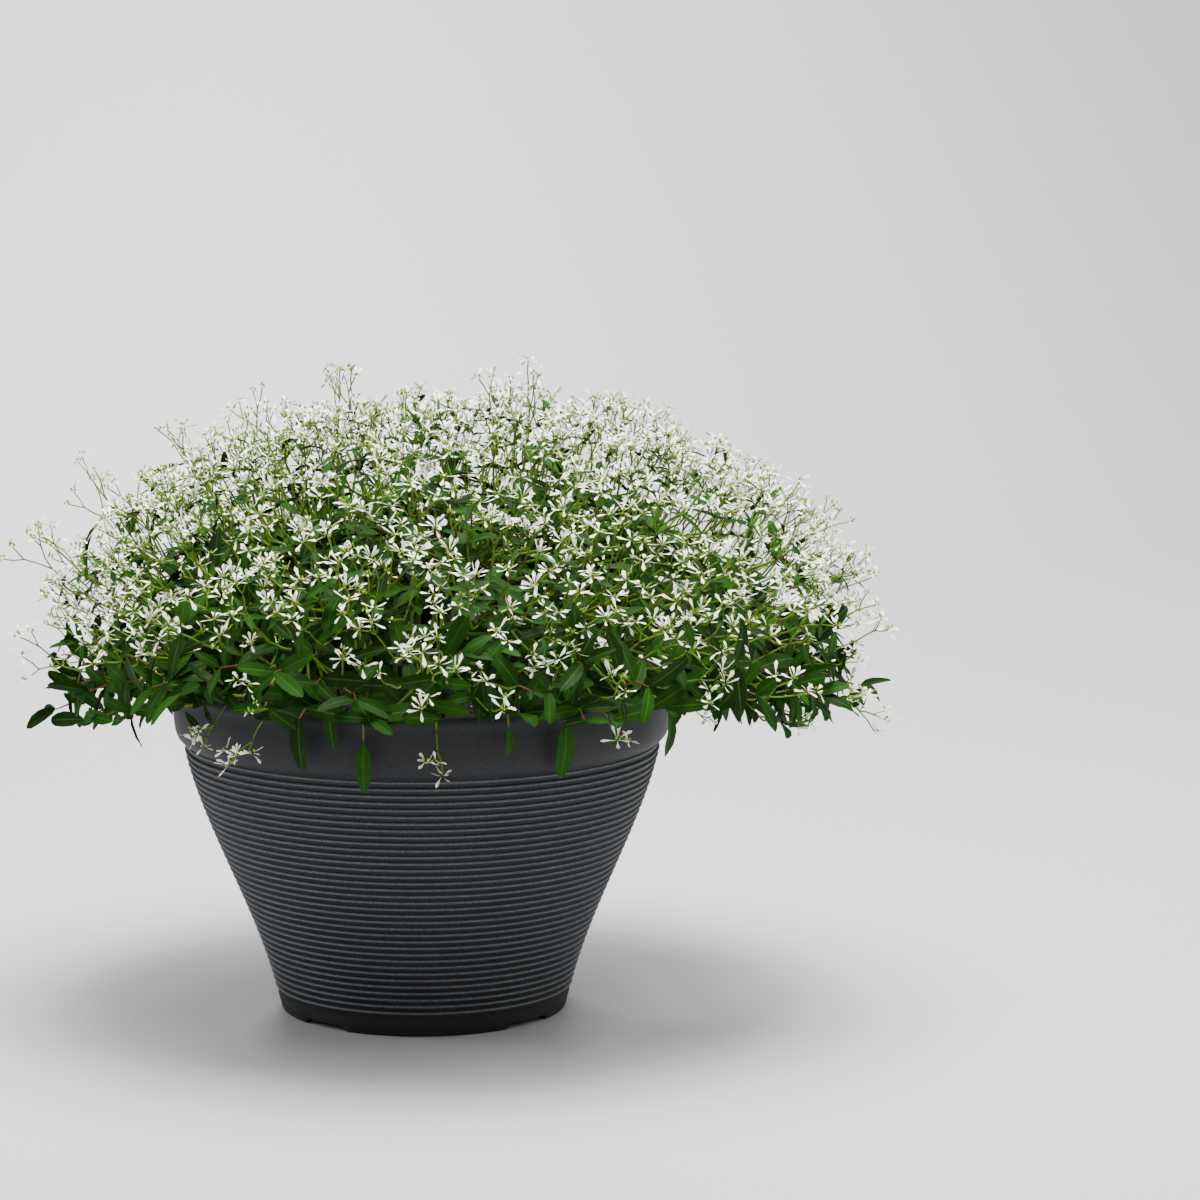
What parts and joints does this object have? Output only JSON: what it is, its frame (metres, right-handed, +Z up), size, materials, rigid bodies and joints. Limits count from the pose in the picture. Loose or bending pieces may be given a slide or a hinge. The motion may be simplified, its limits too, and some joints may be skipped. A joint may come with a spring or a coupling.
{
  "type": "potted euphorbia",
  "caption": "Mounded white-flowered euphorbia with forked leafy stems, growing in a round flared dark grey pot with fine horizontal ribs.",
  "frame": {"origin": "centre of the pot's underside, on the pot's axis", "axes": "+Z up along the pot's axis, -Y towards the pictured front, +X to the right seen from the front"},
  "size_m": [0.5351, 0.5459, 0.382],
  "materials": {
    "pot_resin": "moulded dark slate grey resin, fine grain, matte",
    "potting_soil": "loose moist potting mix",
    "euphorbia": "soft green leaves and stems with white bracts"
  },
  "bodies": {
    "root": {"pot": "pot_resin", "soil": "potting_soil", "spray_01": "euphorbia", "spray_02": "euphorbia", "spray_03": "euphorbia", "spray_04": "euphorbia", "spray_05": "euphorbia", "spray_06": "euphorbia", "spray_07": "euphorbia", "spray_08": "euphorbia", "spray_09": "euphorbia", "spray_10": "euphorbia", "spray_11": "euphorbia", "spray_12": "euphorbia", "spray_13": "euphorbia", "spray_14": "euphorbia", "spray_15": "euphorbia", "spray_16": "euphorbia", "spray_17": "euphorbia", "spray_18": "euphorbia", "spray_19": "euphorbia", "spray_20": "euphorbia", "spray_21": "euphorbia", "spray_22": "euphorbia", "spray_23": "euphorbia", "spray_24": "euphorbia", "spray_25": "euphorbia", "spray_26": "euphorbia", "spray_27": "euphorbia", "spray_28": "euphorbia", "spray_29": "euphorbia", "spray_30": "euphorbia", "spray_31": "euphorbia", "spray_32": "euphorbia", "spray_33": "euphorbia", "spray_34": "euphorbia", "spray_35": "euphorbia", "spray_36": "euphorbia", "spray_37": "euphorbia", "spray_38": "euphorbia"}
  },
  "joints": []
}
